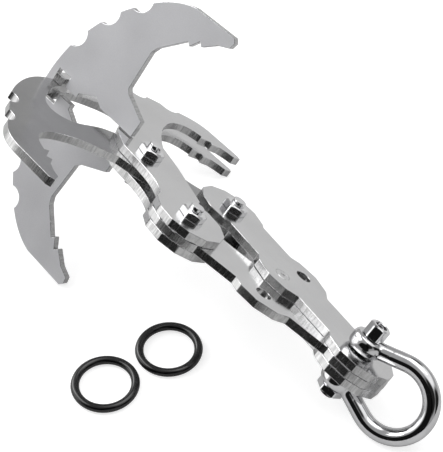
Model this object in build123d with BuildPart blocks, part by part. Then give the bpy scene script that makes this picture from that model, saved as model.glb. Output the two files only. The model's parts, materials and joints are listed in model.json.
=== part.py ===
from build123d import *
import math
import os

os.makedirs("parts", exist_ok=True)

# Folding four-claw grapnel anchor, laser cut from stainless plate, millimetres.
#
# The anchor lies as it rests on a floor: on the tip of its right jaw, the tip of its lower
# cross claw and the bow of its shackle. Z is up, and X runs from the crown to the shackle.
# The plates are drawn in an inclined plane: "along" runs down the shank from the centre
# pivot to the shackle, "across" runs in the plates from the left jaw to the right jaw, and
# "height" stands square to the plates.

# Attitude on the floor and place of the centre pivot
pitch = 14.9
roll = 37.77
pivot_x = -40.9
pivot_y = 5.65
pivot_z = 44.69

# Plates
plate = 3.0
gap = 0.1
layer = plate + gap
stack_top = 1.5 * plate + gap

# Linkage: jaw arms from the centre pivot, links from the side pivots to the shackle pin
arm_length = 36.2
link_length = 72.6
arm_angle = 28.0
side_along = arm_length * math.cos(math.radians(arm_angle))
side_across = arm_length * math.sin(math.radians(arm_angle))
link_angle = math.degrees(math.asin(side_across / link_length))
pin_along = side_along + link_length * math.cos(math.radians(link_angle))

# Bosses and links
boss_radius = 13.7
link_half_width = 10.2
link_half_neck = 9.2
middle_boss_radius = 15.2
middle_boss_along = 35.3
stop_hole_offset = 6.8
stop_hole_radius = 2.9

# Fasteners
bolt_radius = 2.5
running = 0.06
nut_across_flats = 8.7
nut_height = 2.7
bolt_end = 1.6
bolt_chamfer = 0.5
head_height = 3.2

# Shackle
rod_radius = 3.1
pin_radius = 3.0
eye_centre_height = 7.9
eye_height = 6.0
eye_radius = 6.3
bow_radius = 13.0
bow_centre = 18.5
bow_leg_angle = 110.0
pin_head_height = 5.0
pin_head_flats = 7.0
pin_recess_radius = 2.2
pin_recess_depth = 1.2
pin_nut_across_flats = 9.0
open_pivot_clearance = 1.0
links_clearance = 1.0

# O-rings, loose on the floor: centre line and tube radius, and their places
ring_radius = 10.5
ring_tube_radius = 1.55
front_ring_place = (-5.2, -49.95)
back_ring_place = (-0.1, -23.9)

lean = math.radians(pitch)
turn = math.radians(roll)
along = Vector(math.cos(lean), 0, -math.sin(lean))
up = Vector(math.cos(turn) * math.sin(lean), math.sin(turn), math.cos(turn) * math.cos(lean))
across = up.cross(along)
pivot = Vector(pivot_x, pivot_y, pivot_z)


def place(a, c, h):
    """A point in the row frame from its along, across and height."""
    return pivot + along * a + across * c + up * h


def plate_plane(height, a=0.0, c=0.0, angle=0.0):
    """A plane parallel to the plates, turned by angle about their normal."""
    spin = math.radians(angle)
    return Plane(
        origin=place(a, c, height),
        x_dir=along * math.cos(spin) + across * math.sin(spin),
        z_dir=up,
    )


def middle_plane(a=0.0):
    """The plane of the shank's centre line that stands square to the plates."""
    return Plane(origin=place(a, 0, 0), x_dir=along, z_dir=across * -1)


def finish(part, name):
    """Names a finished piece and writes it."""
    part.label = name
    export_step(part, "parts/" + name + ".step")


def sided(points, side):
    """The points as they are for side +1, and mirrored across the shank for side -1."""
    return [(x, side * y) for x, y in points]


# Jaw outline for the left jaw, whose claw lies at negative across; the right one is mirrored
head_inner = 42.7
head_outer = 47.0
head_end = 4.0
notch_radius = 4.8
jaw_notches = [(-37.7, -43.1), (-28.5, -56.0)]
head_loop = [(-42.6, -3.0), (-41.6, -10.0), (-38.3, -17.0), (-35.0, -22.3), (-29.5, -25.5),
             (-24.6, -23.3), (-20.6, -14.0), (-17.5, -3.0)]
claw_teeth = [(-15.6, -50.0), (-12.8, -53.0), (-8.8, -55.2), (-7.9, -53.0), (-5.3, -57.8),
              (-3.6, -56.4), (-1.6, -59.9), (1.6, -62.0), (4.7, -63.2), (6.0, -66.7),
              (4.3, -67.7), (-10.5, -66.9)]
throat = [(-3.0, -14.6), (-7.8, -20.3), (-12.8, -28.0), (-16.2, -36.5), (-17.3, -44.0),
          (-15.6, -50.0)]
claw_back = [(-10.5, -66.9), (-18.5, -63.9), (-24.0, -57.9), (-31.5, -48.5), (-39.0, -38.4),
             (-44.6, -27.0), (-47.7, -16.0), (-48.0, -8.5), (-46.9, -3.2)]
arm_back = [(-6.0, 10.6), (3.0, 12.1), (13.0, 15.2), (19.5, 20.4), (24.6, 28.4)]
arm_front = [(26.0, 1.0), (8.0, -9.6)]
head_root = (-13.5, 4.5)


def jaw_sketch(plane, side):
    """One jaw: curled head, toothed claw, arm and both bosses."""
    end = math.radians(head_end)
    tip_in = (-head_inner * math.cos(end), head_inner * math.sin(end))
    tip_out = (-head_outer * math.cos(end), head_outer * math.sin(end))
    with BuildSketch(plane) as sketch:
        with BuildLine():
            ThreePointArc(*sided([tip_in, (-head_inner, 0), head_loop[0]], side))
            Spline(*sided(head_loop, side))
            Polyline(*sided([head_loop[-1], head_root, arm_back[0]], side))
            Spline(*sided(arm_back, side))
            Polyline(*sided([arm_back[-1], (side_along, side_across), *arm_front, throat[0]], side))
            Spline(*sided(throat, side))
            Polyline(*sided(claw_teeth, side))
            Spline(*sided(claw_back, side))
            ThreePointArc(*sided([claw_back[-1], (-head_outer, 0), tip_out], side))
            Line(*sided([tip_out, tip_in], side))
        make_face()
        with Locations((side_along, side * side_across)):
            RegularPolygon(boss_radius, 12)
        with Locations(*sided(jaw_notches, side)):
            Circle(notch_radius, mode=Mode.SUBTRACT)
        with Locations((0, 0), (side_along, side * side_across)):
            Circle(bolt_radius + running, mode=Mode.SUBTRACT)
    return sketch


def jaw_plate(name, height, side):
    """A jaw cut from plate, with its middle at that height."""
    outline = jaw_sketch(plate_plane(height - plate / 2), side)
    with BuildPart() as jaw:
        extrude(outline.sketch, amount=plate)
    finish(jaw.part, name)


jaw_plate("left_jaw", 0, 1)
jaw_plate("right_jaw_upper", layer, -1)
jaw_plate("right_jaw_lower", -layer, -1)


def link_plate(name, height, side, pin_hole):
    """A link from a side pivot to the shackle pin; side is +1 for the right link."""
    plane = plate_plane(height - plate / 2, side_along, side * side_across, -side * link_angle)
    with BuildPart() as link:
        with BuildSketch(plane):
            with Locations((middle_boss_along / 2, 0)):
                Rectangle(middle_boss_along, 2 * link_half_width)
            with Locations(((middle_boss_along + link_length) / 2, 0)):
                Rectangle(link_length - middle_boss_along, 2 * link_half_neck)
            with Locations((0, 0), (link_length, 0)):
                RegularPolygon(boss_radius, 12)
            with Locations((middle_boss_along, 0)):
                RegularPolygon(middle_boss_radius, 12)
            with Locations((0, 0)):
                Circle(bolt_radius + running, mode=Mode.SUBTRACT)
            with Locations((link_length, 0)):
                Circle(pin_hole, mode=Mode.SUBTRACT)
            with Locations((middle_boss_along, stop_hole_offset), (middle_boss_along, -stop_hole_offset)):
                Circle(stop_hole_radius, mode=Mode.SUBTRACT)
        extrude(amount=plate)
    finish(link.part, name)


link_plate("left_link", 0, -1, pin_radius + running + open_pivot_clearance)
link_plate("right_link_upper", layer, 1, pin_radius + running)
link_plate("right_link_lower", -layer, 1, pin_radius + running)

# Flush rivet that fills the inner stop hole of the upper right link
rivet_plane = plate_plane(layer - plate / 2, side_along, side_across, -link_angle)
with BuildPart() as stop_rivet:
    with BuildSketch(rivet_plane):
        with Locations((middle_boss_along, -stop_hole_offset)):
            Circle(stop_hole_radius)
    extrude(amount=plate)
finish(stop_rivet.part, "stop_rivet")

# Cross claw plate: two claws, a window for the jaw heads, a spanner hole and a forked stem
window_near = 41.9
window_far = 47.7
window_half = 6.0
slot_half = 1.8
fork_half = 5.0
stem_end = -9.4
spanner_centre = -29.4
spanner_radius = 7.3
cross_notches = [(-50.3, 20.1), (-44.2, 34.3), (-36.1, 45.8)]
cross_back = [(-50.7, 0), (-50.5, 8.0), (-49.0, 17.0), (-45.5, 27.0), (-41.2, 35.5), (-36.0, 42.6),
              (-30.5, 48.5), (-24.0, 53.3), (-17.0, 56.1)]
cross_claw = [(-17.0, 56.1), (1.0, 57.0), (2.3, 55.4), (1.8, 53.0), (-2.5, 51.0), (-7.2, 46.7),
              (-8.6, 48.1), (-11.0, 44.1), (-12.4, 45.2), (-20.3, 36.2), (-21.4, 33.5),
              (-20.7, 18.0), (-19.2, 16.2), (stem_end, 11.6), (stem_end, 0)]

with BuildPart() as cross_claw_plate:
    with BuildSketch(middle_plane()):
        for side in (1, -1):
            with BuildLine():
                Spline(*sided(cross_back, side))
                Polyline(*sided(cross_claw, side))
                Line((stem_end, 0), cross_back[0])
            make_face()
            with Locations(*sided(cross_notches, side)):
                Circle(notch_radius, mode=Mode.SUBTRACT)
        with Locations(((-window_near - window_far) / 2, 0)):
            Rectangle(window_far - window_near, 2 * window_half, mode=Mode.SUBTRACT)
        with Locations(((-window_near + spanner_centre) / 2, 0)):
            Rectangle(window_near + spanner_centre, 2 * slot_half, mode=Mode.SUBTRACT)
        with Locations((spanner_centre, 0)):
            RegularPolygon(spanner_radius, 6, rotation=30, mode=Mode.SUBTRACT)
        with Locations(((spanner_centre + stem_end) / 2 + 1, 0)):
            Rectangle(stem_end - spanner_centre + 2, 2 * fork_half, mode=Mode.SUBTRACT)
    extrude(amount=plate / 2, both=True)
finish(cross_claw_plate.part, "cross_claw_plate")


def pivot_bolt(bolt_name, nut_name, a, c, nut_turn):
    """A hexagon bolt from below with a nut on top of the three plates."""
    top = stack_top + gap
    with BuildPart() as bolt:
        with BuildSketch(plate_plane(-top, a, c)):
            Circle(bolt_radius)
        extrude(amount=2 * top + nut_height + bolt_end)
        chamfer(bolt.edges().group_by(lambda e: (e.center() - pivot).dot(up))[-1], bolt_chamfer)
        with BuildSketch(plate_plane(-top - head_height, a, c, nut_turn)):
            RegularPolygon(nut_across_flats / 2, 6, major_radius=False)
        extrude(amount=head_height)
    finish(bolt.part, bolt_name)
    with BuildPart() as nut:
        with BuildSketch(plate_plane(top, a, c, nut_turn)):
            RegularPolygon(nut_across_flats / 2, 6, major_radius=False)
            Circle(bolt_radius, mode=Mode.SUBTRACT)
        extrude(amount=nut_height)
    finish(nut.part, nut_name)


pivot_bolt("centre_bolt", "centre_nut", 0, 0, 32)
pivot_bolt("left_side_bolt", "left_side_nut", side_along, -side_across, 31)
pivot_bolt("right_side_bolt", "right_side_nut", side_along, side_across, 30)

# Bow shackle: two eyes joined by a round bow
eye_top = eye_centre_height + eye_height / 2
eye_plane = middle_plane(pin_along)
leg_start = (2.0, eye_centre_height)
leg = math.radians(bow_leg_angle)
leg_end = (bow_centre + bow_radius * math.cos(leg), bow_radius * math.sin(leg))
rod_start = eye_plane.from_local_coords(leg_start)
rod_turn = eye_plane.from_local_coords(leg_end)
with BuildPart() as shackle_bow:
    with BuildLine(eye_plane):
        Line(leg_start, leg_end)
        ThreePointArc(leg_end, (bow_centre + bow_radius, 0), (leg_end[0], -leg_end[1]))
        Line((leg_end[0], -leg_end[1]), (leg_start[0], -leg_start[1]))
    with BuildSketch(Plane(origin=rod_start, z_dir=rod_turn - rod_start)):
        Circle(rod_radius)
    sweep()
    for side in (1, -1):
        with BuildSketch(plate_plane(side * eye_centre_height - eye_height / 2, pin_along)):
            Circle(eye_radius)
        extrude(amount=eye_height)
    with BuildSketch(plate_plane(-eye_centre_height - eye_height, pin_along)):
        Circle(pin_radius)
    extrude(amount=2 * eye_centre_height + 2 * eye_height, mode=Mode.SUBTRACT)
    with BuildSketch(plate_plane(-stack_top - 2 * gap, pin_along)):
        Circle(boss_radius + links_clearance)
    extrude(amount=2 * stack_top + 4 * gap, mode=Mode.SUBTRACT)
    for outside in (eye_top, -eye_top - pin_head_height):
        with BuildSketch(plate_plane(outside, pin_along)):
            Circle(eye_radius)
        extrude(amount=pin_head_height, mode=Mode.SUBTRACT)
finish(shackle_bow.part, "shackle_bow")

# Shackle pin with a hexagon head, and the nut on its lower end
with BuildPart() as shackle_pin:
    with BuildSketch(plate_plane(-eye_top - nut_height - bolt_end, pin_along)):
        Circle(pin_radius)
    extrude(amount=2 * eye_top + nut_height + bolt_end)
    with BuildSketch(plate_plane(eye_top, pin_along)):
        RegularPolygon(pin_head_flats / 2, 6, major_radius=False)
    extrude(amount=pin_head_height)
    with BuildSketch(plate_plane(eye_top + pin_head_height - pin_recess_depth, pin_along)):
        Circle(pin_recess_radius)
    extrude(amount=pin_recess_depth, mode=Mode.SUBTRACT)
finish(shackle_pin.part, "shackle_pin")

with BuildPart() as shackle_nut:
    with BuildSketch(plate_plane(-eye_top - nut_height, pin_along)):
        RegularPolygon(pin_nut_across_flats / 2, 6, major_radius=False)
        Circle(pin_radius, mode=Mode.SUBTRACT)
    extrude(amount=nut_height)
finish(shackle_nut.part, "shackle_nut")


def o_ring(name, x, y):
    """A rubber ring that lies flat on the floor."""
    with BuildPart() as ring:
        with BuildSketch(Plane(origin=(x, y, ring_tube_radius), x_dir=(1, 0, 0), z_dir=(0, -1, 0))):
            with Locations((ring_radius, 0)):
                Circle(ring_tube_radius)
        revolve(axis=Axis((x, y, 0), (0, 0, 1)))
    finish(ring.part, name)


o_ring("o_ring_front", *front_ring_place)
o_ring("o_ring_back", *back_ring_place)
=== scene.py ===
import json
import math

import bmesh
import bpy
from mathutils import Matrix, Vector


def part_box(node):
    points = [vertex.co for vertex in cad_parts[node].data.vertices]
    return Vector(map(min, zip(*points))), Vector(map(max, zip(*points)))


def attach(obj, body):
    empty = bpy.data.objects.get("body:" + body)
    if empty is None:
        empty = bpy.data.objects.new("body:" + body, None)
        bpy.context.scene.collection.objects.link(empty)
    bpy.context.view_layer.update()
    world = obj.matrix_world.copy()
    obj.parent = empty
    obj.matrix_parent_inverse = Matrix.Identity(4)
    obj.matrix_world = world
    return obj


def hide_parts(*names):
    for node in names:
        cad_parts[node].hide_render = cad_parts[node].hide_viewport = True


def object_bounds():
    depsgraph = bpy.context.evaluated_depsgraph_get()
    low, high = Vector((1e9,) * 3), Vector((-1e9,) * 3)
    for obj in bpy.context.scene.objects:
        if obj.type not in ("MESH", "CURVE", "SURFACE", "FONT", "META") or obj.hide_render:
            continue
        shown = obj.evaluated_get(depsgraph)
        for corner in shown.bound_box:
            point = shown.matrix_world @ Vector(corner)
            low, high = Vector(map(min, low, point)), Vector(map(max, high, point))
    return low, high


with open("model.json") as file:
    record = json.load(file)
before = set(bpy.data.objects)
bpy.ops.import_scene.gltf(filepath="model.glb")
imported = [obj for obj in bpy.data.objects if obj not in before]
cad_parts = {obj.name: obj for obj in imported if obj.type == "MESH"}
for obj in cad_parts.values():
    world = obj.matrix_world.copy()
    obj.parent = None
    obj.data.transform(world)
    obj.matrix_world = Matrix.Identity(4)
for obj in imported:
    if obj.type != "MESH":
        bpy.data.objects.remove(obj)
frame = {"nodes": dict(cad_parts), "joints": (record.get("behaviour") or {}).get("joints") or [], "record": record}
cad_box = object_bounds()

MM = 0.001

# ---------------------------------------------------------------- the anchor's own directions
# "Along" runs down the shank from the centre pivot to the shackle pin, "across" runs in the
# plates from the left jaw to the right jaw, and "up" stands square to the plates.

joints = {joint["name"]: joint for joint in frame["joints"]}
centre_pivot = Vector(joints["jaw_fold"]["pos_m"])
left_pivot = Vector(joints["left_link_fold"]["pos_m"])
right_pivot = Vector(joints["right_link_fold"]["pos_m"])
pin_pivot = Vector(joints["shackle_swing"]["pos_m"])
UP = Vector(joints["jaw_fold"]["axis"]).normalized()
ACROSS = UP.cross(pin_pivot - centre_pivot).normalized()
ALONG = ACROSS.cross(UP)
OPEN_HOLE = next(m for m in frame["record"]["mounts"] if m["name"] == "stop_hole")

PLATE = 3.0 * MM
STACK_TOP = 4.7 * MM


def basis(origin, x_dir, z_dir):
    """A frame at origin whose Z is z_dir and whose X lies nearest to x_dir."""
    z_axis = z_dir.normalized()
    y_axis = z_axis.cross(x_dir).normalized()
    x_axis = y_axis.cross(z_axis)
    matrix = Matrix((x_axis, y_axis, z_axis)).transposed().to_4x4()
    matrix.translation = origin
    return matrix


def at(along, across, up):
    """A point from its millimetres along, across and up from the centre pivot."""
    return centre_pivot + (ALONG * along + ACROSS * across + UP * up) * MM


# ---------------------------------------------------------------- materials

# Each vertex keeps the place where it was drawn, so that the grain follows its own piece
DRAWN = "drawn_at"


class Nodes:
    """A short way to write a material's node tree."""

    def __init__(self, name, drawn=True):
        self.material = bpy.data.materials.new(name)
        self.material.use_nodes = True
        self.tree = self.material.node_tree
        self.shader = self.tree.nodes["Principled BSDF"]
        if drawn:
            coordinates = self.tree.nodes.new("ShaderNodeAttribute")
            coordinates.attribute_name = DRAWN
            self.place = coordinates.outputs["Vector"]
        else:
            self.place = self.tree.nodes.new("ShaderNodeTexCoord").outputs["Object"]

    def link(self, source, target):
        self.tree.links.new(source, target)

    def stretched(self, scale):
        mapping = self.tree.nodes.new("ShaderNodeMapping")
        mapping.inputs["Scale"].default_value = scale
        self.link(self.place, mapping.inputs["Vector"])
        return mapping.outputs["Vector"]

    def noise(self, scale, stretch=(1, 1, 1), detail=3.0, rough=0.55):
        node = self.tree.nodes.new("ShaderNodeTexNoise")
        node.inputs["Scale"].default_value = scale
        node.inputs["Detail"].default_value = detail
        node.inputs["Roughness"].default_value = rough
        self.link(self.stretched(stretch), node.inputs["Vector"])
        return node.outputs["Fac"]

    def span(self, source, low, high, start=0.3, end=0.7):
        """Maps a noise from start..end to low..high."""
        node = self.tree.nodes.new("ShaderNodeMapRange")
        node.inputs["From Min"].default_value = start
        node.inputs["From Max"].default_value = end
        node.inputs["To Min"].default_value = low
        node.inputs["To Max"].default_value = high
        self.link(source, node.inputs["Value"])
        return node.outputs["Result"]

    def add(self, a, b, operation="ADD"):
        node = self.tree.nodes.new("ShaderNodeMath")
        node.operation = operation
        self.link(a, node.inputs[0])
        self.link(b, node.inputs[1])
        return node.outputs["Value"]

    def tint(self, level, dark, light):
        node = self.tree.nodes.new("ShaderNodeMix")
        node.data_type = "RGBA"
        node.inputs["A"].default_value = (*dark, 1)
        node.inputs["B"].default_value = (*light, 1)
        self.link(level, node.inputs["Factor"])
        self.link(node.outputs["Result"], self.shader.inputs["Base Color"])

    def bump(self, height, distance, strength=1.0):
        node = self.tree.nodes.new("ShaderNodeBump")
        node.inputs["Distance"].default_value = distance
        node.inputs["Strength"].default_value = strength
        self.link(height, node.inputs["Height"])
        self.link(node.outputs["Normal"], self.shader.inputs["Normal"])

    def metal(self, amount=1.0, grazing=1.0):
        """A metal; grazing below 1 keeps a satin surface from going white at a low angle."""
        self.shader.inputs["Metallic"].default_value = amount
        self.shader.inputs["Specular Tint"].default_value = (grazing, grazing, grazing, 1)
        return self

    def roughness(self, source):
        self.link(source, self.shader.inputs["Roughness"])


def rolled_face(name, dark, light, rough, grazing):
    """The satin face of a plate: fine rolling lines along the piece, clouds and a few scuffs."""
    nodes = Nodes(name).metal(grazing=grazing)
    clouds = nodes.noise(45, detail=2)
    lines = nodes.noise(900, (0.05, 1, 1), detail=4)
    scuffs = nodes.noise(260, (1, 0.12, 1), detail=5, rough=0.7)
    level = nodes.add(nodes.span(clouds, 0.0, 0.6), nodes.span(lines, 0.0, 0.4))
    nodes.tint(level, dark, light)
    nodes.roughness(nodes.add(nodes.span(scuffs, rough, rough + 0.06), nodes.span(lines, 0.0, 0.04)))
    nodes.bump(nodes.add(lines, scuffs), 0.004 * MM)
    return nodes.material


def blasted_face(name, dark, light):
    """The fine matt face of the cross claw plate."""
    nodes = Nodes(name).metal(0.35)
    clouds = nodes.noise(60, detail=3)
    grains = nodes.noise(2600, detail=2)
    level = nodes.add(nodes.span(clouds, 0.0, 0.5), nodes.span(grains, 0.0, 0.5))
    nodes.tint(level, dark, light)
    nodes.roughness(nodes.span(clouds, 0.4, 0.5))
    nodes.bump(grains, 0.02 * MM)
    return nodes.material


def cut_edge(name, dark, light):
    """The laser-cut edge of a plate, scored from face to face."""
    nodes = Nodes(name).metal()
    scores = nodes.noise(1500, (1, 1, 0.09), detail=3, rough=0.6)
    drag = nodes.noise(700, (1, 1, 1), detail=2)
    level = nodes.add(nodes.span(scores, 0.0, 0.75), nodes.span(drag, 0.0, 0.25))
    nodes.tint(level, dark, light)
    nodes.roughness(nodes.span(scores, 0.3, 0.16))
    nodes.bump(nodes.add(scores, drag), 0.028 * MM)
    return nodes.material


def worn_rim(name):
    """The broken corner between a plate's face and its cut edge, rubbed bright."""
    nodes = Nodes(name).metal()
    wear = nodes.noise(600, detail=4)
    nodes.tint(nodes.span(wear, 0.0, 1.0), (0.62, 0.62, 0.63), (0.86, 0.86, 0.87))
    nodes.roughness(nodes.span(wear, 0.12, 0.28))
    nodes.bump(wear, 0.01 * MM)
    return nodes.material


def polished(name, dark, light):
    """Polished steel with faint haze and hairline scratches."""
    nodes = Nodes(name).metal()
    haze = nodes.noise(180, detail=3)
    hairs = nodes.noise(1400, (0.1, 1, 0.4), detail=3)
    nodes.tint(nodes.span(haze, 0.0, 1.0), dark, light)
    nodes.roughness(nodes.add(nodes.span(haze, 0.04, 0.08), nodes.span(hairs, 0.0, 0.03)))
    nodes.bump(nodes.add(haze, hairs), 0.006 * MM)
    return nodes.material


def moulded_rubber(name):
    """Glossy black rubber with a slight orange peel and a dusting of lighter specks."""
    nodes = Nodes(name)
    peel = nodes.noise(420, detail=2)
    dust = nodes.noise(1500, detail=4, rough=0.7)
    nodes.tint(nodes.span(dust, 0.0, 1.0, 0.62, 0.78), (0.003, 0.003, 0.0035), (0.014, 0.014, 0.015))
    nodes.roughness(nodes.add(nodes.span(peel, 0.13, 0.19), nodes.span(dust, 0.0, 0.08, 0.55, 0.85)))
    nodes.bump(peel, 0.02 * MM)
    nodes.shader.inputs["Specular IOR Level"].default_value = 0.6
    return nodes.material


link_face = rolled_face("link_face_steel", (0.74, 0.74, 0.745), (0.84, 0.84, 0.845), 0.1, 0.8)
jaw_face = rolled_face("left_jaw_face_steel", (0.44, 0.44, 0.443), (0.54, 0.54, 0.543), 0.13, 0.65)
cross_face = blasted_face("cross_plate_face_steel", (0.6, 0.6, 0.62), (0.7, 0.7, 0.72))
edge_steel = cut_edge("cut_edge_steel", (0.36, 0.36, 0.36), (0.66, 0.66, 0.66))
rim_steel = worn_rim("worn_rim_steel")
bright_steel = polished("polished_fastener_steel", (0.74, 0.74, 0.75), (0.84, 0.84, 0.85))
shackle_steel = polished("polished_shackle_steel", (0.62, 0.62, 0.63), (0.74, 0.74, 0.75))
# Painted shade: the floor of the pin head's recess is coloured dark steel for the shade in the hollow; the same
# dark steel covers the pin's hidden shank
recess_painted_shade_steel = polished("pin_recess_painted_shade_steel", (0.2, 0.2, 0.2), (0.3, 0.3, 0.3))
rubber = moulded_rubber("o_ring_rubber")

# ---------------------------------------------------------------- making pieces


def piece(name, mesh_code, matrix, body, materials, nodes, sharp=28.0):
    """Turns a bmesh, drawn in the matrix's own frame, into a piece on a body."""
    mesh = bpy.data.meshes.new(name)
    bmesh.ops.recalc_face_normals(mesh_code, faces=mesh_code.faces)
    mesh_code.to_mesh(mesh)
    mesh_code.free()
    drawn = mesh.attributes.new(DRAWN, "FLOAT_VECTOR", "POINT")
    for vertex, kept in zip(mesh.vertices, drawn.data):
        kept.vector = vertex.co
    mesh.transform(matrix)
    for material in materials:
        mesh.materials.append(material)
    mesh.shade_smooth()
    mesh.set_sharp_from_angle(angle=math.radians(sharp))
    for face in mesh.polygons:
        if face.loop_total > 8 or (len(materials) > 2 and face.material_index != 1):
            face.use_smooth = False
    made = bpy.data.objects.new(name, mesh)
    bpy.context.scene.collection.objects.link(made)
    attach(made, body)
    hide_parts(*nodes)
    return made


def joined_rings(mesh_code, rings, closed):
    """Skins rows of points; a closed skin joins its last row to its first."""
    rows = [[mesh_code.verts.new(point) for point in ring] for ring in rings]
    pairs = list(zip(rows, rows[1:]))
    if closed:
        pairs.append((rows[-1], rows[0]))
    for lower, upper in pairs:
        for i in range(len(lower)):
            k = (i + 1) % len(lower)
            mesh_code.faces.new((lower[i], lower[k], upper[k], upper[i]))
    return rows


# ---------------------------------------------------------------- the cut plates

RIM = 0.14 * MM
FLAT_ANGLE = math.radians(0.6)
CORNER_ANGLE = math.radians(14)


def cut_plate(node, matrix, body, face_material):
    """A plate in its CAD shape with its corners broken, faces and cut edges told apart."""
    mesh_code = bmesh.new()
    mesh_code.from_mesh(frame["nodes"][node].data)
    bmesh.ops.transform(mesh_code, matrix=matrix.inverted(), verts=mesh_code.verts)
    bmesh.ops.remove_doubles(mesh_code, verts=mesh_code.verts, dist=0.001 * MM)
    bmesh.ops.dissolve_limit(
        mesh_code, angle_limit=FLAT_ANGLE, verts=mesh_code.verts, edges=mesh_code.edges
    )
    corners = [e for e in mesh_code.edges if e.calc_face_angle(0) > CORNER_ANGLE]
    bmesh.ops.bevel(
        mesh_code, geom=corners, offset=RIM, segments=2, profile=0.6, affect="EDGES", clamp_overlap=False
    )
    bmesh.ops.triangulate(mesh_code, faces=[f for f in mesh_code.faces if len(f.verts) > 4])
    mesh_code.normal_update()
    for face in mesh_code.faces:
        level = abs(face.normal.z)
        face.material_index = 0 if level > 0.98 else 1 if level < 0.2 else 2
    return piece(
        node + "_cut", mesh_code, matrix, body, [face_material, edge_steel, rim_steel], [node], 20
    )


plate_frame = basis(centre_pivot, ALONG, UP)
right_link_frame = basis(right_pivot, pin_pivot - right_pivot, UP)
left_link_frame = basis(left_pivot, pin_pivot - left_pivot, UP)
cross_frame = basis(centre_pivot, ALONG, -ACROSS)

cut_plate("left_jaw", plate_frame, "left_jaw", jaw_face)
for tier in ("upper", "lower"):
    cut_plate("right_jaw_" + tier, plate_frame, "right_jaw", link_face)
    cut_plate("right_link_" + tier, right_link_frame, "right_link", link_face)
cut_plate("left_link", left_link_frame, "left_link", link_face)
cut_plate("cross_claw_plate", cross_frame, "crown", cross_face)

# ---------------------------------------------------------------- fasteners

STEPS = 96
CHAMFER_SLOPE = math.tan(math.radians(35))
CHAMFER_SHARE = 0.45
BORE_LIP = 0.15 * MM
FOOT = 0.05 * MM


def around(radius_at, height_at, turn=0.0):
    """A ring of points whose radius and height depend on the angle."""
    ring = []
    for i in range(STEPS):
        angle = 2 * math.pi * i / STEPS + turn
        radius = radius_at(i)
        ring.append(Vector((radius * math.cos(angle), radius * math.sin(angle), height_at(i))))
    return ring


def hexagon(flats, corner_share=0.975):
    """Gives the distance from the middle to a hexagon's outline at step i, its corners turned down."""
    half = flats / 2
    corner = corner_share * half / math.cos(math.radians(30))

    def radius(i):
        within = (360 * i / STEPS) % 60 - 30
        return min(half / math.cos(math.radians(within)), corner)

    return radius


def hexagon_body(mesh_code, flats, bottom, top, bore, circle, turn, corner_share=0.975):
    """A chamfered hexagon with a bore through it, as on a nut or under a recessed head."""
    outline = hexagon(flats, corner_share)

    def fixed(value):
        return lambda i: value

    def drop(i):
        return max(0.0, outline(i) - circle) * CHAMFER_SLOPE

    rings = [
        around(fixed(bore), fixed(bottom), turn),
        around(fixed(bore), fixed(top - BORE_LIP), turn),
        around(fixed(bore + BORE_LIP), fixed(top), turn),
        around(fixed(circle), fixed(top), turn),
        around(outline, lambda i: top - drop(i), turn),
        around(outline, lambda i: bottom + FOOT, turn),
        around(lambda i: outline(i) - FOOT, fixed(bottom), turn),
    ]
    joined_rings(mesh_code, rings, closed=True)


def rod(mesh_code, profile):
    """A turned rod from (radius, height) pairs, with a disc at both ends."""
    rings = [around(lambda i, r=r: r, lambda i, h=h: h) for r, h in profile]
    rows = joined_rings(mesh_code, rings, closed=False)
    mesh_code.faces.new(reversed(rows[0]))
    mesh_code.faces.new(rows[-1])


def screw_end(radius, start, end, chamfer):
    """The profile of a screw's end above its nut, up to a rounded rim."""
    profile = [(radius, start)]
    for step in range(5):
        angle = math.pi / 2 * step / 4
        profile.append((radius - chamfer * (1 - math.cos(angle)), end - chamfer * (1 - math.sin(angle))))
    return profile


def read_size(node, matrix):
    """The lowest and highest corner of a CAD node in a piece's own frame."""
    inverse = matrix.inverted()
    points = [inverse @ vertex.co for vertex in frame["nodes"][node].data.vertices]
    low = Vector([min(p[k] for p in points) for k in range(3)])
    high = Vector([max(p[k] for p in points) for k in range(3)])
    return low, high


BOLT_RADIUS = 2.5 * MM
BOLT_PLAY = 0.02 * MM
BOLT_RIM = 0.22 * MM
NUT_FLATS = 8.7 * MM
HEAD_DIMPLE = 1.2 * MM


def pivot_fastener(label, body, place, turn):
    """A bolt up through the plates, and the nut on its end."""
    matrix = basis(place, ALONG, UP)
    nut_low, nut_high = read_size(label + "_nut", matrix)
    bolt_low, bolt_high = read_size(label + "_bolt", matrix)
    mesh_code = bmesh.new()
    circle = CHAMFER_SHARE * NUT_FLATS
    hexagon_body(mesh_code, NUT_FLATS, nut_low.z, nut_high.z, BOLT_RADIUS, circle, turn)
    piece(
        label + "_hexagon_nut", mesh_code, matrix, body, [bright_steel], [label + "_nut"]
    )
    mesh_code = bmesh.new()
    hexagon_body(mesh_code, NUT_FLATS, bolt_low.z, -STACK_TOP, HEAD_DIMPLE, circle, turn)
    shank = BOLT_RADIUS - BOLT_PLAY
    head = [(HEAD_DIMPLE, bolt_low.z + 0.3 * MM), (shank, bolt_low.z + 0.5 * MM)]
    rod(mesh_code, head + screw_end(shank, nut_high.z, bolt_high.z, BOLT_RIM))
    piece(
        label + "_hexagon_bolt", mesh_code, matrix, body, [bright_steel], [label + "_bolt"]
    )


pivot_fastener("centre", "crown", centre_pivot, math.radians(32))
pivot_fastener("left_side", "right_jaw", left_pivot, math.radians(31))
pivot_fastener("right_side", "left_jaw", right_pivot, math.radians(30))

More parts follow.
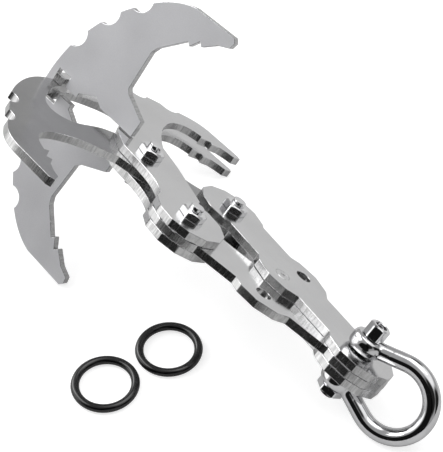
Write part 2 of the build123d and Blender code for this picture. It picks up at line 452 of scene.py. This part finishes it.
# The rivet that closes the inner stop hole lies flush, with a set mark in its middle
rivet_low, rivet_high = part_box("stop_rivet")
rivet_frame = basis((rivet_low + rivet_high) / 2, pin_pivot - right_pivot, UP)
rivet_radius = OPEN_HOLE["dims"]["r_mm"] * MM
half = PLATE / 2
mesh_code = bmesh.new()
rod(
    mesh_code,
    [
        (rivet_radius - 0.2 * MM, -half),
        (rivet_radius - 0.02 * MM, -half + 0.15 * MM),
        (rivet_radius - 0.02 * MM, half - 0.15 * MM),
        (rivet_radius - 0.22 * MM, half),
        (1.1 * MM, half),
        (0.8 * MM, half - 0.16 * MM),
        (0.35 * MM, half - 0.22 * MM),
    ],
)
piece("stop_rivet_head", mesh_code, rivet_frame, "right_link", [link_face], ["stop_rivet"])

# ---------------------------------------------------------------- shackle

pin_frame = basis(pin_pivot, ALONG, UP)

PIN_RADIUS = 3.0 * MM
ROD_RADIUS = 3.1 * MM
EYE_BORE = 3.05 * MM
EYE_HEIGHT = 7.9 * MM
EYE_HALF = 3.0 * MM
LEG_START = 2.0 * MM
LEG_ANGLE = math.radians(110)
LEG_STEPS = 24
BEND_STEPS = 96
ROD_STEPS = 48
EYE_STEPS = 40
EYE_ROUNDING = 2 / 2.5
SIDEWAYS = Vector((0, 1, 0))
VOXEL = 0.2 * MM
SURFACE_PASSES = 20
JOIN_PASSES = 30
JOIN_REACH = 9.5 * MM


def bow_path():
    """The middle line of the bow: a straight leg from each eye, and the bend that joins them."""
    high = read_size("shackle_bow", pin_frame)[1]
    bend_radius = high.z - ROD_RADIUS
    bend_middle = high.x - high.z

    def bend(angle):
        return Vector((bend_middle + bend_radius * math.cos(angle), 0, bend_radius * math.sin(angle)))

    start = Vector((LEG_START, 0, EYE_HEIGHT))
    leg = [start.lerp(bend(LEG_ANGLE), k / LEG_STEPS) for k in range(LEG_STEPS)]
    turned = [bend(LEG_ANGLE * (1 - 2 * k / BEND_STEPS)) for k in range(BEND_STEPS + 1)]
    return leg + turned + [Vector((point.x, 0, -point.z)) for point in reversed(leg)]


def round_rod(mesh_code, path):
    """A round rod along a path that lies square to SIDEWAYS."""
    rings = []
    for k, point in enumerate(path):
        tangent = (path[min(k + 1, len(path) - 1)] - path[max(k - 1, 0)]).normalized()
        outward = tangent.cross(SIDEWAYS)
        ring = []
        for i in range(ROD_STEPS):
            angle = 2 * math.pi * i / ROD_STEPS
            ring.append(point + (outward * math.cos(angle) + SIDEWAYS * math.sin(angle)) * ROD_RADIUS)
        rings.append(ring)
    rows = joined_rings(mesh_code, rings, closed=False)
    mesh_code.faces.new(reversed(rows[0]))
    mesh_code.faces.new(rows[-1])


def rounded(value):
    return math.copysign(abs(value) ** EYE_ROUNDING, value)


def rounded_eye(mesh_code, height, reach):
    """An eye round the pin, its section rounded between a circle and a block."""
    wall = (reach - EYE_BORE) / 2
    rings = []
    for k in range(EYE_STEPS):
        angle = 2 * math.pi * k / EYE_STEPS
        radius = EYE_BORE + wall + wall * rounded(math.cos(angle))
        level = height + EYE_HALF * rounded(math.sin(angle))
        rings.append(around(lambda i, r=radius: r, lambda i, h=level: h))
    joined_rings(mesh_code, rings, closed=True)


def run_together(mesh_code):
    """Turns crossing solids into one smooth skin."""
    mesh = bpy.data.meshes.new("bow_blank")
    mesh_code.to_mesh(mesh)
    mesh_code.free()
    blank = bpy.data.objects.new("bow_blank", mesh)
    bpy.context.scene.collection.objects.link(blank)
    remesh = blank.modifiers.new("voxels", "REMESH")
    remesh.mode = "VOXEL"
    remesh.voxel_size = VOXEL
    smooth = blank.modifiers.new("forging", "SMOOTH")
    smooth.factor = 0.5
    smooth.iterations = SURFACE_PASSES
    bpy.context.view_layer.update()
    shaped = bpy.data.meshes.new_from_object(blank.evaluated_get(bpy.context.evaluated_depsgraph_get()))
    bpy.data.objects.remove(blank)
    skin = bmesh.new()
    skin.from_mesh(shaped)
    return skin


def clear_pin(mesh_code):
    """Takes the bore back off the pin, where smoothing has pulled the eyes in."""
    for vertex in mesh_code.verts:
        distance = vertex.co.xy.length
        if 0 < distance < PIN_RADIUS:
            vertex.co.xy = vertex.co.xy * (PIN_RADIUS / distance)


def forged_bow():
    """Two rounded eyes and a round bow, run together as forging leaves them."""
    low = read_size("shackle_bow", pin_frame)[0]
    mesh_code = bmesh.new()
    round_rod(mesh_code, bow_path())
    for side in (1, -1):
        rounded_eye(mesh_code, side * EYE_HEIGHT, -low.x)
    bmesh.ops.recalc_face_normals(mesh_code, faces=mesh_code.faces)
    mesh_code = run_together(mesh_code)
    joins = [v for v in mesh_code.verts if EYE_BORE + 1.0 * MM < v.co.xy.length < JOIN_REACH]
    for _ in range(JOIN_PASSES):
        bmesh.ops.smooth_vert(
            mesh_code, verts=joins, factor=0.5, use_axis_x=True, use_axis_y=True, use_axis_z=True
        )
    clear_pin(mesh_code)
    piece(
        "shackle_forged_bow",
        mesh_code,
        pin_frame,
        "shackle",
        [shackle_steel],
        ["shackle_bow"],
        60,
    )


forged_bow()

PIN_FLATS = 7.0 * MM
PIN_HEAD = 5.0 * MM
PIN_NUT_FLATS = 9.0 * MM
RECESS_RADIUS = 2.2 * MM
RECESS_DEPTH = 1.2 * MM
PIN_CORNER_SHARE = 0.95
PIN_PLAY = 0.05 * MM
PIN_TURN = math.radians(12)

pin_low, pin_high = read_size("shackle_pin", pin_frame)
nut_low, nut_high = read_size("shackle_nut", pin_frame)
mesh_code = bmesh.new()
hexagon_body(
    mesh_code,
    PIN_FLATS,
    pin_high.z - PIN_HEAD,
    pin_high.z,
    RECESS_RADIUS,
    CHAMFER_SHARE * PIN_FLATS,
    PIN_TURN,
    PIN_CORNER_SHARE,
)
head_faces = len(mesh_code.faces)
rod(
    mesh_code,
    [
        (PIN_RADIUS - 0.5 * MM, pin_low.z),
        (PIN_RADIUS - PIN_PLAY, pin_low.z + 0.45 * MM),
        (PIN_RADIUS - PIN_PLAY, pin_high.z - PIN_HEAD + 0.2 * MM),
        (RECESS_RADIUS - 0.02 * MM, pin_high.z - PIN_HEAD + 0.3 * MM),
        (RECESS_RADIUS - 0.02 * MM, pin_high.z - RECESS_DEPTH),
    ],
)
# The shank and the recess floor take the dark steel, which paints shade into the recess
for face in list(mesh_code.faces)[head_faces:]:
    face.material_index = 1
piece(
    "shackle_screw_pin",
    mesh_code,
    pin_frame,
    "shackle",
    [bright_steel, recess_painted_shade_steel],
    ["shackle_pin"],
)
mesh_code = bmesh.new()
hexagon_body(
    mesh_code,
    PIN_NUT_FLATS,
    nut_low.z,
    nut_high.z,
    PIN_RADIUS,
    CHAMFER_SHARE * PIN_NUT_FLATS,
    PIN_TURN,
)
piece("shackle_pin_nut", mesh_code, pin_frame, "shackle", [bright_steel], ["shackle_nut"])

# ---------------------------------------------------------------- O-rings


FLASH = 0.05 * MM
RING_TURNS = 144
RING_FACETS = 40


def moulded_ring(node, body):
    """A rubber ring with the fine flash line that its mould leaves, all inside the CAD ring."""
    low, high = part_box(node)
    middle = (low + high) / 2
    tube = (high.z - low.z) / 2
    radius = (high.x - low.x) / 2 - tube
    mesh_code = bmesh.new()
    rings = []
    for j in range(RING_FACETS):
        angle = 2 * math.pi * j / RING_FACETS
        flash = FLASH * math.exp(-((math.sin(angle) / 0.12) ** 2))
        across = (tube - FLASH - 0.01 * MM + flash) * math.cos(angle)
        ring = []
        for i in range(RING_TURNS):
            turn = 2 * math.pi * i / RING_TURNS
            reach = radius + across
            ring.append(Vector((reach * math.cos(turn), reach * math.sin(turn), tube * math.sin(angle))))
        rings.append(ring)
    joined_rings(mesh_code, rings, closed=True)
    matrix = Matrix.Translation(middle)
    piece(node + "_moulded", mesh_code, matrix, body, [rubber], [node], 60)


moulded_ring("o_ring_front", "front_ring")
moulded_ring("o_ring_back", "back_ring")

# ---------------------------------------------------------------- floor, light and camera


# The floor shows white, but steel mirrors it as a mid grey, so that pale edges stand off it
FLOOR_GLOW_SEEN = 0.72
FLOOR_GLOW_MIRRORED = 0.12
FLOOR_HALF = 0.9


def pale_floor():
    """A plain pale floor, larger than any view needs."""
    mesh_code = bmesh.new()
    bmesh.ops.create_grid(mesh_code, x_segments=8, y_segments=8, size=FLOOR_HALF)
    mesh = bpy.data.meshes.new("floor")
    mesh_code.to_mesh(mesh)
    mesh_code.free()
    nodes = Nodes("floor_paper", drawn=False)
    nodes.tint(nodes.span(nodes.noise(9, detail=2), 0.0, 1.0), (0.52, 0.52, 0.52), (0.54, 0.54, 0.54))
    nodes.shader.inputs["Roughness"].default_value = 0.9
    nodes.shader.inputs["Specular IOR Level"].default_value = 0.1
    nodes.shader.inputs["Emission Color"].default_value = (1, 1, 1, 1)
    seen = nodes.tree.nodes.new("ShaderNodeLightPath").outputs["Is Camera Ray"]
    glow = nodes.span(seen, FLOOR_GLOW_MIRRORED, FLOOR_GLOW_SEEN, 0, 1)
    nodes.link(glow, nodes.shader.inputs["Emission Strength"])
    mesh.materials.append(nodes.material)
    floor = bpy.data.objects.new("floor", mesh)
    bpy.context.scene.collection.objects.link(floor)
    floor.location = (0, 0, cad_box[0].z)


pale_floor()

# Each patch of the studio: its direction, the angles where it starts to fade and ends, and
# how many times as bright as the grey studio it is. The first three and the last are dark
# flags and the others white cards.
STUDIO_GREY = 0.42
STUDIO_PATCHES = [
    ((0.2, -0.93, 0.22), 29, 38, 0.02),
    ((0.95, 0.25, 0.2), 16, 30, 0.04),
    ((-0.1, 0.75, 0.66), 8, 15, 0.05),
    ((-0.9, -0.4, 0.18), 24, 36, 3.8),
    ((0.25, 0.4, 0.88), 26, 42, 2.8),
    ((-0.784, 0.03, 0.619), 14, 26, 4.0),
    ((0.66, -0.45, 0.6), 18, 28, 0.05),
]


def studio_world(patches):
    """A grey studio for the steel to mirror; the backdrop that the camera sees stays white."""
    world = bpy.data.worlds.new("studio")
    bpy.context.scene.world = world
    world.use_nodes = True
    tree = world.node_tree
    background = tree.nodes["Background"]
    direction = tree.nodes.new("ShaderNodeTexCoord").outputs["Generated"]
    level = None
    for toward, inner, outer, share in patches:
        dot = tree.nodes.new("ShaderNodeVectorMath")
        dot.operation = "DOT_PRODUCT"
        dot.inputs[1].default_value = Vector(toward).normalized()
        tree.links.new(direction, dot.inputs[0])
        fade = tree.nodes.new("ShaderNodeMapRange")
        fade.interpolation_type = "SMOOTHSTEP"
        fade.inputs["From Min"].default_value = math.cos(math.radians(outer))
        fade.inputs["From Max"].default_value = math.cos(math.radians(inner))
        fade.inputs["To Min"].default_value = 1.0
        fade.inputs["To Max"].default_value = share
        tree.links.new(dot.outputs["Value"], fade.inputs["Value"])
        if level is None:
            level = fade.outputs["Result"]
        else:
            both = tree.nodes.new("ShaderNodeMath")
            both.operation = "MULTIPLY"
            tree.links.new(level, both.inputs[0])
            tree.links.new(fade.outputs["Result"], both.inputs[1])
            level = both.outputs["Value"]
    seen = tree.nodes.new("ShaderNodeLightPath").outputs["Is Camera Ray"]
    dimmed = tree.nodes.new("ShaderNodeMath")
    dimmed.operation = "MULTIPLY"
    dimmed.inputs[1].default_value = STUDIO_GREY
    tree.links.new(level, dimmed.inputs[0])
    brightest = tree.nodes.new("ShaderNodeMath")
    brightest.operation = "MAXIMUM"
    tree.links.new(dimmed.outputs["Value"], brightest.inputs[0])
    tree.links.new(seen, brightest.inputs[1])
    tree.links.new(brightest.outputs["Value"], background.inputs["Strength"])
    background.inputs["Color"].default_value = (1, 1, 1, 1)


studio_world(STUDIO_PATCHES)


def soft_light(name, place, aim, size, watts):
    light = bpy.data.lights.new(name, "AREA")
    light.shape = "RECTANGLE"
    light.size, light.size_y = size
    light.energy = watts
    lamp = bpy.data.objects.new(name, light)
    bpy.context.scene.collection.objects.link(lamp)
    lamp.location = place
    lamp.rotation_euler = (Vector(aim) - Vector(place)).to_track_quat("-Z", "Y").to_euler()


middle = (cad_box[0] + cad_box[1]) / 2
soft_light("key", (-0.5, -0.35, 0.75), middle, (0.6, 0.4), 2.0)
soft_light("top", (0.1, 0.3, 0.9), middle, (0.7, 0.5), 1.6)


def level_camera():
    """The camera, placed from the centre pivot in the anchor's own directions; it stands level."""
    data = bpy.data.cameras.new("camera")
    data.sensor_fit = "HORIZONTAL"
    data.sensor_width = 36
    data.lens = 107.97
    data.clip_start = 0.01
    camera = bpy.data.objects.new("camera", data)
    bpy.context.scene.collection.objects.link(camera)
    camera.location = at(166.59, -416.60, 157.16)
    look = ALONG * -0.27955 + ACROSS * 0.90058 - UP * 0.33289
    camera.rotation_euler = look.to_track_quat("-Z", "Y").to_euler()
    bpy.context.scene.camera = camera


level_camera()
bpy.context.scene.view_settings.view_transform = "Standard"
